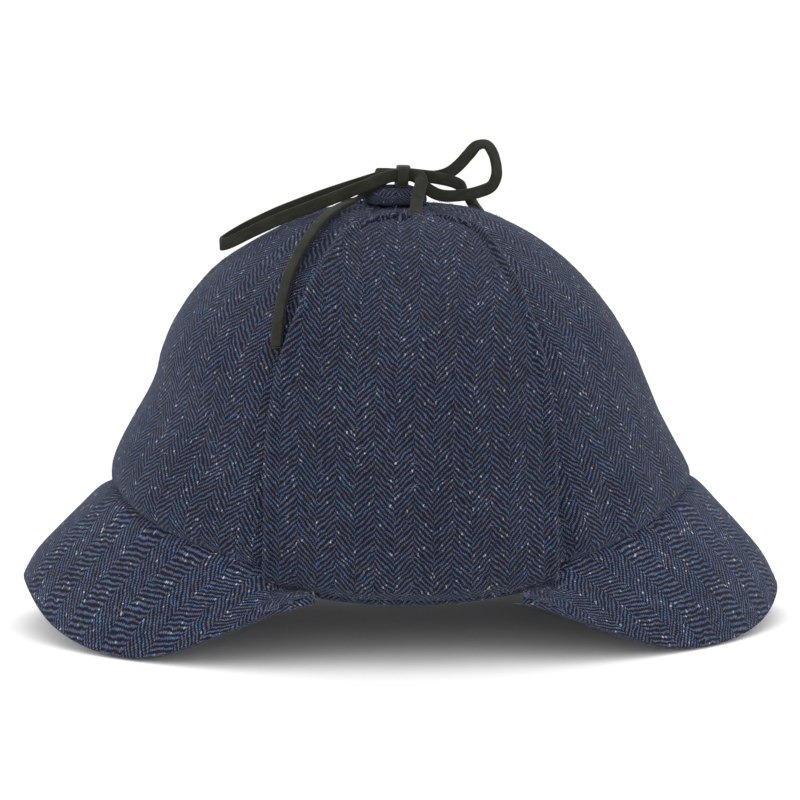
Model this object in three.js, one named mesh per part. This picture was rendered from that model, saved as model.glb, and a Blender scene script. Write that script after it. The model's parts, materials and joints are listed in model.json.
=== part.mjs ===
// Deerstalker hat: a six-gore tweed crown with a covered button, a peak at the front and at the back,
// and two ear flaps folded up over the sides and tied on top with flat suede laces.
//
// Millimetres, +Z up, +X towards the front peak, -Y the wearer's right. The hat stands on the lower
// edges of its two peaks, and the origin is on the table under the middle of the crown.

import * as THREE from "three";

const RAD = Math.PI / 180;

// ---------------------------------------------------------------- driving sizes

const CLOTH = { wall: 2.2, peak: 3.4, flap: 3.0, gap: 0.35 };
const RIM = { front: 54, side: 29.2, curve: 2.2 };
const CROWN_TOP = 161.5;
const GORES = { count: 6, across: 8, dip: 1.5, sharpness: 8, topEnd: 12.55 };
const PEAK = { front: 148, back: 145.5, across: 86.6, settle: 0.2, seamInset: 2.4, seamDrop: 2.1, seamEnd: 68, edgeEnd: 75 };
const TUCK = { from: 56, to: 60.5, drop: 5.2 };
const FLAP = { across: 14, puff: 1.6, lift: 5.5, liftRow: 8.4, liftRows: 1.7, liftReach: 0.3 };
const BUTTON = { x: -2, radius: 11.5, base: 161.6, height: 5.9, rim: 2.2 };
const LACE = { width: 4.6, thick: 1.8, corner: 0.7 };
const KNOT = { x: 0.6, y: -4, z: 172.7, long: 5.4, deep: 12.4, high: 9.4, wall: 1.8, corner: 2.2 };

// The crown's outline from the rim (first row) to the top: share of the height, then the length in
// front of the middle, the length behind it and the half width there.
const CROWN_ROWS = [
  { up: 0.0, front: 110.0, back: 110.0, across: 78.5 },
  { up: 0.033, front: 112.6, back: 112.6, across: 80.5 },
  { up: 0.093, front: 110.4, back: 112.2, across: 81.0 },
  { up: 0.178, front: 105.4, back: 107.9, across: 81.0 },
  { up: 0.28, front: 99.6, back: 100.3, across: 80.5 },
  { up: 0.383, front: 94.6, back: 95.0, across: 79.5 },
  { up: 0.495, front: 90.4, back: 92.6, across: 76.5 },
  { up: 0.598, front: 84.6, back: 87.8, across: 71.5 },
  { up: 0.706, front: 75.4, back: 79.2, across: 64.0 },
  { up: 0.813, front: 63.2, back: 67.0, across: 53.0 },
  { up: 0.916, front: 46.0, back: 50.0, across: 38.0 },
  { up: 0.972, front: 33.5, back: 37.0, across: 25.0 },
  { up: 0.993, front: 21.0, back: 23.5, across: 14.0 },
  { up: 1.0, front: 0.0, back: 0.0, across: 0.0 },
];
const CROWN_COLUMNS = ["up", "front", "back", "across"];
const MIRRORED_COLUMNS = ["front", "back", "across"];

// Height of each peak's free edge, by the angle round from the middle of the peak.
const PEAK_EDGE = [
  { turn: 0, front: 12.5, back: 19.5 },
  { turn: 10, front: 10.5, back: 17.5 },
  { turn: 20, front: 5.0, back: 9.0 },
  { turn: 30, front: 1.4, back: 3.4 },
  { turn: 38, front: 0.2, back: 0.8 },
  { turn: 46, front: 0.4, back: 0.3 },
  { turn: 53, front: 4.0, back: 4.8 },
  { turn: 60, front: 10.0, back: 11.8 },
  { turn: 67, front: 17.2, back: 19.2 },
  { turn: 75, front: 26.4, back: 28.4 },
];

// How a peak arches from its seam to its free edge: share of the way out, share of the way down.
const PEAK_ARCH = [
  { out: 0.0, down: 0.0 },
  { out: 0.17, down: 0.05 },
  { out: 0.4, down: 0.27 },
  { out: 0.64, down: 0.5 },
  { out: 0.86, down: 0.74 },
  { out: 1.0, down: 1.0 },
];

// Each ear flap, from just above its fold to its tip: row of the crown that it lies on, where its
// middle is along the hat, and its half width.
const FLAP_ROWS = [
  { row: 0.5, mid: -1.8, half: 52.6 },
  { row: 2.0, mid: -1.8, half: 52.2 },
  { row: 3.2, mid: -1.7, half: 51.8 },
  { row: 4.4, mid: -1.6, half: 51.2 },
  { row: 5.6, mid: -1.2, half: 49.8 },
  { row: 6.8, mid: -0.2, half: 46.6 },
  { row: 7.8, mid: 1.2, half: 42.0 },
  { row: 8.6, mid: 2.4, half: 37.2 },
  { row: 9.3, mid: 3.0, half: 32.0 },
  { row: 9.9, mid: 3.4, half: 26.2 },
  { row: 10.3, mid: 3.6, half: 19.5 },
  { row: 10.55, mid: 3.6, half: 12.0 },
  { row: 10.65, mid: 3.6, half: 4.0 },
];

// The fold under the rim that turns a flap up: distance out from the crown's lower edge, and height
// over that edge, of the middle of the cloth.
const FLAP_FOLD = [
  { out: -1.6, up: -2.3 },
  { out: 0.4, up: -2.2 },
  { out: 1.9, up: -0.9 },
];

// ---------------------------------------------------------------- shared geometry

// Reads the named columns of a table at a fractional row, as one smooth curve through all the rows.
// Past the last row the mirrored columns go on with their sign turned, as over the top of the crown.
function smoothRow(table, row, columns, mirrored = []) {
  const last = table.length - 1;
  const at = THREE.MathUtils.clamp(row, 0, last);
  const i = Math.min(Math.floor(at), last - 1);
  const f = at - i;
  const pick = (k, column) => {
    if (k < 0) return 2 * table[0][column] - table[1][column];
    if (k <= last) return table[k][column];
    return mirrored.includes(column) ? -table[last - 1][column] : table[last - 1][column];
  };
  const result = {};
  for (const column of columns) {
    const [a, b, c, d] = [-1, 0, 1, 2].map((step) => pick(i + step, column));
    result[column] = 0.5 * (2 * b + (c - a) * f + (2 * a - 5 * b + 4 * c - d) * f * f
      + (3 * b - a - 3 * c + d) * f * f * f);
  }
  return result;
}

// The crown's height share, half length on the side that turn looks to, and half width at a row.
function crownRow(turn, row) {
  const { up, front, back, across } = smoothRow(CROWN_ROWS, row, CROWN_COLUMNS, MIRRORED_COLUMNS);
  return { up, along: Math.cos(turn) > 0 ? front : back, across };
}

// Straight-line reading of one column by the value of another.
function readTable(table, key, column, value) {
  const last = table.length - 1;
  const next = THREE.MathUtils.clamp(table.findIndex((row) => row[key] >= value), 1, last);
  const a = table[next - 1];
  const b = table[value > table[last][key] ? last : next];
  const share = b === a ? 0 : (value - a[key]) / (b[key] - a[key]);
  return a[column] + (b[column] - a[column]) * THREE.MathUtils.clamp(share, 0, 1);
}

function rimHeight(turn) {
  return RIM.side + (RIM.front - RIM.side) * Math.abs(Math.cos(turn)) ** RIM.curve;
}

// A point of the crown's smooth outer surface: turn is the angle round from the front, row is a
// fractional row of CROWN_ROWS.
function crownSurface(turn, row) {
  const { up, along, across } = crownRow(turn, row);
  const rim = rimHeight(turn);
  return new THREE.Vector3(along * Math.cos(turn), across * Math.sin(turn), rim + (CROWN_TOP - rim) * up);
}

// Outward normal of any surface given as a function of two numbers.
function normalOf(surface, u, v, stepU, stepV) {
  const du = surface(u + stepU, v).sub(surface(u - stepU, v));
  const dv = surface(u, v + stepV).sub(surface(u, v - stepV));
  return du.cross(dv).normalize();
}

function offCrown(turn, row, distance) {
  const normal = normalOf(crownSurface, turn, row, 0.004, 0.02);
  return crownSurface(turn, row).addScaledVector(normal, distance);
}

// A closed body of cloth: the grid of outer points, the grid of inner points behind it, and the
// strips round the four edges that join them.
function clothBody(columns, rows, outerAt, innerAt) {
  const positions = [];
  const indices = [];
  const size = (columns + 1) * (rows + 1);
  const id = (side, i, j) => side * size + j * (columns + 1) + i;
  for (const pointAt of [outerAt, innerAt]) {
    for (let j = 0; j <= rows; j++) {
      for (let i = 0; i <= columns; i++) positions.push(...pointAt(i, j).toArray());
    }
  }
  const quad = (a, b, c, d) => indices.push(a, b, c, a, c, d);
  for (let j = 0; j < rows; j++) {
    for (let i = 0; i < columns; i++) {
      quad(id(0, i, j), id(0, i + 1, j), id(0, i + 1, j + 1), id(0, i, j + 1));
      quad(id(1, i, j), id(1, i, j + 1), id(1, i + 1, j + 1), id(1, i + 1, j));
    }
  }
  for (let i = 0; i < columns; i++) {
    quad(id(1, i, 0), id(1, i + 1, 0), id(0, i + 1, 0), id(0, i, 0));
    quad(id(0, i, rows), id(0, i + 1, rows), id(1, i + 1, rows), id(1, i, rows));
  }
  for (let j = 0; j < rows; j++) {
    quad(id(0, 0, j), id(0, 0, j + 1), id(1, 0, j + 1), id(1, 0, j));
    quad(id(1, columns, j), id(1, columns, j + 1), id(0, columns, j + 1), id(0, columns, j));
  }
  const geometry = new THREE.BufferGeometry();
  geometry.setAttribute("position", new THREE.Float32BufferAttribute(positions, 3));
  geometry.setIndex(indices);
  geometry.computeVertexNormals();
  return geometry;
}

// Stations from 0 to 1 that crowd towards both ends, where cloth turns over at a seam or an edge.
const crowded = (i, count) => 0.5 - 0.5 * Math.cos((Math.PI * i) / count);

// ---------------------------------------------------------------- materials

const tweed = (colour) => new THREE.MeshStandardMaterial({ color: colour, roughness: 0.95, metalness: 0 });
const suede = () => new THREE.MeshStandardMaterial({ color: "#2a2b25", roughness: 0.9, metalness: 0 });

const hat = new THREE.Group();

function addPart(name, geometry, material) {
  const mesh = new THREE.Mesh(geometry, material);
  mesh.name = name;
  hat.add(mesh);
  return mesh;
}

// ---------------------------------------------------------------- crown

// One gore: a leaf of cloth between two seams, turned in at both.
function crownPanel(index) {
  const width = (2 * Math.PI) / GORES.count;
  const start = index * width;
  const rows = CROWN_ROWS.length - 1;
  const rowOf = (j) => Math.min(j, GORES.topEnd);
  const pointAt = (i, j, depth) => {
    const row = rowOf(j);
    const { along, across } = crownRow(start + width / 2, row);
    const seamGap = CLOTH.gap / 2 / Math.min(along, across);
    const share = crowded(i, GORES.across);
    const turn = start + seamGap + (width - 2 * seamGap) * share;
    const dip = -GORES.dip * Math.abs(2 * share - 1) ** GORES.sharpness;
    return offCrown(turn, row, dip - depth);
  };
  return clothBody(GORES.across, rows,
    (i, j) => pointAt(i, j, 0),
    (i, j) => pointAt(i, j, CLOTH.wall));
}

for (let index = 0; index < GORES.count; index++) {
  addPart(`crown_panel_${index + 1}`, crownPanel(index), tweed("#343a4c"));
}

// ---------------------------------------------------------------- peaks

// Middle surface of a peak: side is 1 at the front and -1 at the back, round runs from -1 to 1
// along the seam, and out from 0 at the seam to 1 at the free edge.
function peakSurface(side, height, round, out) {
  const seamTurn = round * PEAK.seamEnd * RAD;
  const edgeTurn = round * PEAK.edgeEnd * RAD;
  const tucked = TUCK.drop * THREE.MathUtils.smoothstep(Math.abs(seamTurn) / RAD, TUCK.from, TUCK.to);
  const seam = new THREE.Vector3(
    (CROWN_ROWS[0].front - PEAK.seamInset) * Math.cos(seamTurn),
    (CROWN_ROWS[0].across - PEAK.seamInset) * Math.sin(seamTurn),
    rimHeight(seamTurn) - PEAK.seamDrop - tucked);
  const edge = new THREE.Vector3(
    (PEAK[height] - CLOTH.peak / 2) * Math.cos(edgeTurn),
    (PEAK.across - CLOTH.peak / 2) * Math.sin(edgeTurn),
    readTable(PEAK_EDGE, "turn", height, Math.abs(round) * PEAK.edgeEnd) - PEAK.settle);
  const last = PEAK_ARCH.length - 1;
  const arch = smoothRow(PEAK_ARCH, out * last, ["out", "down"]);
  const share = THREE.MathUtils.lerp(arch.down, out, Math.abs(round) ** 3);
  const run = THREE.MathUtils.lerp(arch.out, out, Math.abs(round) ** 3);
  return new THREE.Vector3(
    side * THREE.MathUtils.lerp(seam.x, edge.x, run),
    side * THREE.MathUtils.lerp(seam.y, edge.y, run),
    THREE.MathUtils.lerp(seam.z, edge.z, share));
}

function peak(side, height) {
  const across = 22;
  const rows = 6;
  const surface = (round, out) => peakSurface(side, height, round, out);
  const pointAt = (i, j, half) => {
    const round = 2 * crowded(i, across) - 1;
    const out = j / rows;
    const inside = THREE.MathUtils.clamp(out, 0.02, 0.98);
    const normal = normalOf(surface, THREE.MathUtils.clamp(round, -0.98, 0.98), inside, 0.01, 0.015);
    const point = surface(round, out).addScaledVector(normal, -half);
    point.z = Math.max(point.z, 0);
    return point;
  };
  return clothBody(across, rows,
    (i, j) => pointAt(i, j, -CLOTH.peak / 2),
    (i, j) => pointAt(i, j, CLOTH.peak / 2));
}

addPart("front_peak", peak(1, "front"), tweed("#3d4252"));
addPart("back_peak", peak(-1, "back"), tweed("#3d4252"));

// ---------------------------------------------------------------- ear flaps

// Middle of a flap's cloth: across runs from -1 to 1, and j counts the rows of the fold and then
// those of FLAP_ROWS.
function flapMiddle(across, j) {
  const folded = j < FLAP_FOLD.length;
  const { row, mid, half } = FLAP_ROWS[folded ? 0 : j - FLAP_FOLD.length];
  const level = folded ? 0 : row;
  const x = mid + across * half;
  const { along } = crownRow(x < 0 ? Math.PI : 0, level);
  const turn = -Math.acos(x / along);
  if (folded) {
    const { out, up } = FLAP_FOLD[j];
    const outward = new THREE.Vector3(Math.cos(turn) / along, Math.sin(turn) / CROWN_ROWS[0].across, 0);
    return crownSurface(turn, 0).addScaledVector(outward.normalize(), out).add(new THREE.Vector3(0, 0, up));
  }
  const rise = Math.exp(-(((row - FLAP.liftRow) / FLAP.liftRows) ** 2));
  const lifted = FLAP.lift * rise * Math.exp(-(((across + 1) / FLAP.liftReach) ** 2));
  const puffed = FLAP.puff * (1 - across ** 2) * Math.sin((Math.PI * j) / (FLAP_ROWS.length + 4));
  return offCrown(turn, level, CLOTH.flap / 2 + CLOTH.gap + 0.25 + puffed + lifted);
}

function earFlap() {
  const rows = FLAP_FOLD.length + FLAP_ROWS.length - 1;
  const pointAt = (i, j, half) => {
    const across = 2 * crowded(i, FLAP.across) - 1;
    const before = flapMiddle(across, Math.max(j - 1, 0));
    const after = flapMiddle(across, Math.min(j + 1, rows));
    const left = flapMiddle(Math.max(across - 0.02, -1), j);
    const right = flapMiddle(Math.min(across + 0.02, 1), j);
    const normal = right.sub(left).cross(after.sub(before)).normalize();
    return flapMiddle(across, j).addScaledVector(normal, half);
  };
  return clothBody(FLAP.across, rows,
    (i, j) => pointAt(i, j, CLOTH.flap / 2),
    (i, j) => pointAt(i, j, -CLOTH.flap / 2));
}

addPart("right_ear_flap", earFlap(), tweed("#333647"));
const leftFlap = addPart("left_ear_flap", earFlap(), tweed("#333647"));
leftFlap.rotation.z = Math.PI;

// ---------------------------------------------------------------- covered button

function coveredButton() {
  const profile = [new THREE.Vector2(0, 0), new THREE.Vector2(BUTTON.radius - BUTTON.rim / 2, 0)];
  const steps = 6;
  for (let k = 0; k <= steps; k++) {
    const angle = (k / steps) * (Math.PI / 2);
    const radius = BUTTON.radius * Math.cos(angle);
    profile.push(new THREE.Vector2(radius, BUTTON.rim / 2 + (BUTTON.height - BUTTON.rim / 2) * Math.sin(angle)));
  }
  profile[profile.length - 1].x = 0;
  const geometry = new THREE.LatheGeometry(profile, 20);
  geometry.rotateX(Math.PI / 2);
  return geometry;
}

const button = addPart("crown_button", coveredButton(), tweed("#2e3444"));
button.position.set(BUTTON.x, 0, BUTTON.base);

// ---------------------------------------------------------------- laces and their knot

// Which way a lace's width lies at a point of its route.
const UP = [0, 0, 1];
const ALONG = [1, 0, 0];
const DOWN = [0, 0, -1];
const ROUND = [-0.77, 0.64, 0];

// The right flap's lace: up from the flap's tip, through the knot, out and back as the long loop
// behind, through the knot again and over the far side as a tail.
const RIGHT_LACE = [
  { at: [4.0, -29.4, 158.1], width: ALONG },
  { at: [4.0, -26.5, 159.7], width: ALONG },
  { at: [4.3, -22.5, 161.8], width: ALONG },
  { at: [5.0, -18.2, 164.6], width: ALONG },
  { at: [6.2, -14.4, 168.0], width: ALONG },
  { at: [7.2, -11.2, 171.2], width: [0.9, 0.2, 0.4] },
  { at: [6.2, -8.4, 172.7], width: [0.3, 0.1, 0.95] },
  { at: [3.2, -7.2, 172.8], width: UP },
  { at: [0.6, -7.2, 172.7], width: UP },
  { at: [-2.1, -7.2, 172.7], width: UP },
  { at: [-6.5, -7.5, 171.9], width: UP },
  { at: [-13.6, -8.6, 169.3], width: UP },
  { at: [-23.4, -10.0, 165.6], width: UP },
  { at: [-34.8, -10.5, 161.3], width: UP },
  { at: [-46.0, -10.0, 157.0], width: UP },
  { at: [-57.0, -8.4, 151.9], width: UP },
  { at: [-64.5, -6.9, 148.1], width: UP },
  { at: [-67.8, -4.9, 146.9], width: UP },
  { at: [-67.6, -2.4, 147.3], width: UP },
  { at: [-64.3, -1.0, 149.4], width: UP },
  { at: [-57.0, -1.0, 153.6], width: UP },
  { at: [-45.7, -1.4, 158.8], width: UP },
  { at: [-34.3, -1.9, 163.2], width: UP },
  { at: [-22.9, -2.4, 167.2], width: UP },
  { at: [-13.1, -2.8, 170.3], width: UP },
  { at: [-6.5, -2.9, 172.1], width: UP },
  { at: [-2.1, -2.9, 172.7], width: UP },
  { at: [3.3, -2.9, 172.7], width: UP },
  { at: [8.5, -3.1, 172.2], width: UP },
  { at: [13.5, -3.3, 171.4], width: UP },
  { at: [18.0, -3.3, 170.5], width: UP },
  { at: [21.6, -2.4, 169.2], width: UP },
  { at: [24.6, 0.2, 166.9], width: [-0.3, 0, 0.95] },
  { at: [26.8, 4.0, 163.6], width: [-0.8, 0.2, 0.5] },
  { at: [28.6, 10.0, 160.9], width: [-0.95, 0.3, 0] },
  { at: [30.6, 16.5, 158.3], width: [-0.95, 0.3, 0] },
  { at: [33.2, 23.0, 154.9], width: [-0.92, 0.38, 0] },
  { at: [35.8, 29.5, 150.4], width: [-0.9, 0.43, 0] },
  { at: [38.3, 35.5, 145.4], width: [-0.87, 0.5, 0] },
  { at: [40.3, 41.5, 139.9], width: [-0.85, 0.53, 0] },
];

// The left flap's lace: up from the far side, through the knot, out and back as the short upright
// loop in front, through the knot again and down the near side as a tail.
const LEFT_LACE = [
  { at: [-4.0, 29.4, 158.1], width: ALONG },
  { at: [-4.0, 26.0, 160.0], width: ALONG },
  { at: [-4.6, 21.5, 162.5], width: ALONG },
  { at: [-5.8, 17.0, 165.2], width: ALONG },
  { at: [-7.4, 12.6, 168.2], width: ALONG },
  { at: [-8.8, 8.2, 170.9], width: [0.9, 0.2, 0.4] },
  { at: [-8.6, 3.8, 172.4], width: [0.3, 0.1, 0.95] },
  { at: [-6.0, 0.3, 172.8], width: UP },
  { at: [-2.1, -0.8, 172.7], width: UP },
  { at: [3.3, -0.8, 172.7], width: UP },
  { at: [8.5, -0.8, 172.2], width: UP },
  { at: [13.5, -0.8, 171.8], width: UP },
  { at: [18.3, -1.0, 173.1], width: UP },
  { at: [22.3, -1.4, 176.1], width: [-0.6, 0.1, 0.8] },
  { at: [25.8, -2.0, 180.0], width: [-0.7, 0.35, 0.6] },
  { at: [29.2, -2.8, 183.6], width: [-0.4, 0.75, 0.5] },
  { at: [32.6, -3.4, 184.0], width: [0.4, 0.75, 0.5] },
  { at: [35.0, -3.9, 180.9], width: [0.75, 0.6, 0.25] },
  { at: [36.2, -4.4, 176.6], width: [0.8, 0.55, -0.1] },
  { at: [36.3, -5.0, 172.2], width: [0.8, 0.45, -0.3] },
  { at: [34.4, -5.6, 168.4], width: [0.6, 0.3, -0.7] },
  { at: [29.9, -6.2, 166.4], width: [0.25, 0.1, -0.95] },
  { at: [22.3, -6.6, 165.0], width: DOWN },
  { at: [14.6, -6.4, 165.2], width: DOWN },
  { at: [9.4, -5.6, 168.0], width: DOWN },
  { at: [6.2, -5.1, 171.6], width: [0.1, 0, -1] },
  { at: [3.3, -5.1, 172.7], width: DOWN },
  { at: [-2.1, -5.1, 172.7], width: DOWN },
  { at: [-6.0, -5.2, 171.6], width: DOWN },
  { at: [-11.0, -5.4, 168.2], width: DOWN },
  { at: [-15.4, -6.4, 164.9], width: [-0.5, 0.55, -0.65] },
  { at: [-19.6, -9.2, 163.0], width: ROUND },
  { at: [-23.6, -13.2, 161.6], width: ROUND },
  { at: [-28.0, -18.4, 159.4], width: ROUND },
  { at: [-32.5, -24.0, 155.9], width: ROUND },
  { at: [-36.2, -29.2, 151.7], width: ROUND },
  { at: [-40.0, -34.8, 146.5], width: ROUND },
  { at: [-43.4, -40.5, 140.7], width: ROUND },
  { at: [-45.8, -45.8, 134.6], width: ROUND },
  { at: [-47.6, -50.8, 128.2], width: ROUND },
  { at: [-48.8, -55.4, 121.3], width: ROUND },
  { at: [-49.5, -59.0, 115.0], width: ROUND },
];

// A smooth curve through the points of a route, read at those points, which also turns a lace's flat
// section the way that the route says.
class LaceRoute extends THREE.CatmullRomCurve3 {
  constructor(route) {
    super(route.map(({ at }) => new THREE.Vector3(...at)), false, "centripetal");
    this.widths = route.map(({ width }) => new THREE.Vector3(...width));
  }

  getSpacedPoints(steps) {
    return this.getPoints(steps);
  }

  computeFrenetFrames(steps) {
    const frames = { tangents: [], normals: [], binormals: [] };
    for (let i = 0; i <= steps; i++) {
      const tangent = this.getTangent(i / steps);
      const width = this.widths[i].clone();
      width.addScaledVector(tangent, -width.dot(tangent)).normalize();
      frames.tangents.push(tangent);
      frames.normals.push(width);
      frames.binormals.push(new THREE.Vector3().crossVectors(tangent, width));
    }
    return frames;
  }
}

// A flat strip's section with its four long corners cut off: eight sides.
function laceSection() {
  const [w, t, c] = [LACE.width / 2, LACE.thick / 2, LACE.corner];
  return new THREE.Shape([
    [w, -t + c], [w, t - c], [w - c, t], [-w + c, t], [-w, t - c], [-w, -t + c], [-w + c, -t], [w - c, -t],
  ].map(([x, y]) => new THREE.Vector2(x, y)));
}

function lace(route) {
  const extrudePath = new LaceRoute(route);
  return new THREE.ExtrudeGeometry(laceSection(), { steps: route.length - 1, extrudePath, curveSegments: 1 });
}

addPart("right_lace", lace(RIGHT_LACE), suede());
addPart("left_lace", lace(LEFT_LACE), suede());

// The turn of lace that holds the bow: a band round the four runs that pass through it.
function knotBand() {
  const outline = (half, high, corner) => {
    const path = new THREE.Shape();
    path.moveTo(-half + corner, -high);
    path.lineTo(half - corner, -high);
    path.absarc(half - corner, -high + corner, corner, -Math.PI / 2, 0, false);
    path.absarc(half - corner, high - corner, corner, 0, Math.PI / 2, false);
    path.absarc(-half + corner, high - corner, corner, Math.PI / 2, Math.PI, false);
    path.absarc(-half + corner, -high + corner, corner, Math.PI, Math.PI * 1.5, false);
    return path;
  };
  const band = outline(KNOT.deep / 2, KNOT.high / 2, KNOT.corner);
  band.holes.push(outline(KNOT.deep / 2 - KNOT.wall, KNOT.high / 2 - KNOT.wall, KNOT.corner - KNOT.wall));
  const geometry = new THREE.ExtrudeGeometry(band, { depth: KNOT.long, bevelEnabled: false, curveSegments: 4 });
  geometry.translate(0, 0, -KNOT.long / 2);
  geometry.applyMatrix4(new THREE.Matrix4().set(0, 0, 1, 0, 1, 0, 0, 0, 0, 1, 0, 0, 0, 0, 0, 1));
  return geometry;
}

const knot = addPart("knot", knotBand(), suede());
knot.position.set(KNOT.x, KNOT.y, KNOT.z);

// The peaks differ in length, so the hat moves along by half of that to stand centred on its origin.
hat.position.x = (PEAK.back - PEAK.front) / 2;

export default hat;
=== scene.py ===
"""A deerstalker hat in navy herringbone tweed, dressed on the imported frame.

Each soft piece is a grid laid over the same rows that give the frame its shape, given the thickness of its
cloth, and rounded by subdivision. Its UV map counts metres along and across the cloth, so the weave runs
with the cut of each piece. Two suede laces are tied in a bow over the crown. Metres, +Z up, +X to the front.
"""

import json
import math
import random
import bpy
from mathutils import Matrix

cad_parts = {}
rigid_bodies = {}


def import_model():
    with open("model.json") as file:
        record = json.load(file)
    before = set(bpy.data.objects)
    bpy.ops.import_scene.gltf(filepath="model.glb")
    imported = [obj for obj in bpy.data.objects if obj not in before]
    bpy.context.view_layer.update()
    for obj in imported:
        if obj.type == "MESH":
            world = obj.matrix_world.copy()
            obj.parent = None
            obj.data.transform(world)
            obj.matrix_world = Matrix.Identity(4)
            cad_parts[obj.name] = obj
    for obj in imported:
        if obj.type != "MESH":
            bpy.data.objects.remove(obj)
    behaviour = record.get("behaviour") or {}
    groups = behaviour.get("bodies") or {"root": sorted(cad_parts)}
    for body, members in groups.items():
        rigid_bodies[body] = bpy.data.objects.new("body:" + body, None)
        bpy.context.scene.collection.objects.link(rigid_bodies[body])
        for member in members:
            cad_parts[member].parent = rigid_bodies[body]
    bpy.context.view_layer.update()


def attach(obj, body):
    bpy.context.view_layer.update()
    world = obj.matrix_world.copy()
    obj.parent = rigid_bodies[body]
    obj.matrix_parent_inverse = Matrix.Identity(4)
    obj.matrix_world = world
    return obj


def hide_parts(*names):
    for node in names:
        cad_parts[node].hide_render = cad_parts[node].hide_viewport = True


bl_info = {
    "name": "Deerstalker hat",
    "version": (1, 0, 0),
    "blender": (4, 5, 0),
    "location": "3D View > Sidebar > Hat",
    "description": "Makes the tweed and suede pieces of a deerstalker hat on its frame",
    "category": "Object",
}

from collections import namedtuple

import bmesh
import bpy
from mathutils import Matrix, Quaternion, Vector, noise

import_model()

MM = 0.001

# ------------------------------------------------------------------ sizes of the hat, in metres

PEAK_FRONT, PEAK_BACK, PEAK_ACROSS = 0.148, 0.1455, 0.0866
CENTRE_SHIFT = Vector(((PEAK_BACK - PEAK_FRONT) / 2, 0, 0))  # the frame stands centred over its origin
RIM_FRONT, RIM_SIDE, RIM_CURVE = 0.054, 0.0292, 2.2
CROWN_TOP = 0.1615
PEAK_SETTLE = 0.0002
SEAM_INSET, SEAM_DROP = 0.0016, 0.0003
SEAM_END, EDGE_END = 68, 75  # degrees round from the middle of a peak
TUCK_FROM, TUCK_TO, TUCK_DROP = 59.5, 63.5, 0.0052
CLOTH_GAP, FLAP_CLEARANCE = 0.00035, 0.00025
FLAP_PUFF = 0.0016
FLAP_LIFT, LIFT_ROW, LIFT_ROWS, LIFT_REACH = 0.0055, 8.4, 1.7, 0.3
GORE_COUNT, GORE_TOP, SEAM_LAP = 6, 12.55, 0.0003
BUTTON_AT, BUTTON_RADIUS, BUTTON_HEIGHT, BUTTON_RIM = Vector((-0.002, 0, 0.1616)), 0.0122, 0.0072, 0.0022
KNOT_AT = Vector((0.0006, -0.004, 0.1724))
KNOT_LONG, KNOT_DEEP, KNOT_HIGH = 0.0046, 0.0122, 0.0083

CrownRow = namedtuple("CrownRow", "up front back across")
PeakEdge = namedtuple("PeakEdge", "turn front back")
PeakArch = namedtuple("PeakArch", "out down")
FlapRow = namedtuple("FlapRow", "row mid half")
FlapFold = namedtuple("FlapFold", "out up")
Run = namedtuple("Run", "at width")
Fold = namedtuple("Fold", "turn row wide tall rise")
Hem = namedtuple("Hem", "inward down")

# The way a lace's width lies along a run of its route.
UP, DOWN, ALONG, ROUND = (0, 0, 1), (0, 0, -1), (1, 0, 0), (-0.77, 0.64, 0)

# The crown's outline from the rim (first row) to the top: share of the height, then the length in front of
# the middle, the length behind it and the half width there.
CROWN_ROWS = [
    CrownRow(up=0.0, front=0.11, back=0.11, across=0.0785),
    CrownRow(up=0.033, front=0.1126, back=0.1126, across=0.0805),
    CrownRow(up=0.093, front=0.1104, back=0.1122, across=0.081),
    CrownRow(up=0.178, front=0.1054, back=0.1079, across=0.081),
    CrownRow(up=0.28, front=0.0996, back=0.1003, across=0.0805),
    CrownRow(up=0.383, front=0.0946, back=0.095, across=0.0795),
    CrownRow(up=0.495, front=0.0904, back=0.0926, across=0.0765),
    CrownRow(up=0.598, front=0.0846, back=0.0878, across=0.0715),
    CrownRow(up=0.706, front=0.0754, back=0.0792, across=0.064),
    CrownRow(up=0.813, front=0.0632, back=0.067, across=0.053),
    CrownRow(up=0.916, front=0.046, back=0.05, across=0.038),
    CrownRow(up=0.972, front=0.0335, back=0.037, across=0.025),
    CrownRow(up=0.993, front=0.021, back=0.0235, across=0.014),
    CrownRow(up=1.0, front=0.0, back=0.0, across=0.0),
]

# Height of each peak's free edge, by the angle round from the middle of the peak.
PEAK_EDGE = [
    PeakEdge(turn=0.0, front=0.0125, back=0.0195),
    PeakEdge(turn=10.0, front=0.0105, back=0.0175),
    PeakEdge(turn=20.0, front=0.005, back=0.009),
    PeakEdge(turn=30.0, front=0.0014, back=0.0034),
    PeakEdge(turn=38.0, front=0.0002, back=0.0008),
    PeakEdge(turn=46.0, front=0.0004, back=0.0003),
    PeakEdge(turn=53.0, front=0.004, back=0.0048),
    PeakEdge(turn=60.0, front=0.01, back=0.0118),
    PeakEdge(turn=67.0, front=0.0172, back=0.0192),
    PeakEdge(turn=75.0, front=0.0264, back=0.0284),
]

# How a peak arches from its seam to its free edge: share of the way out, share of the way down.
PEAK_ARCH = [
    PeakArch(out=0.0, down=0.0),
    PeakArch(out=0.17, down=0.05),
    PeakArch(out=0.4, down=0.27),
    PeakArch(out=0.64, down=0.5),
    PeakArch(out=0.86, down=0.74),
    PeakArch(out=1.0, down=1.0),
]

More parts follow.
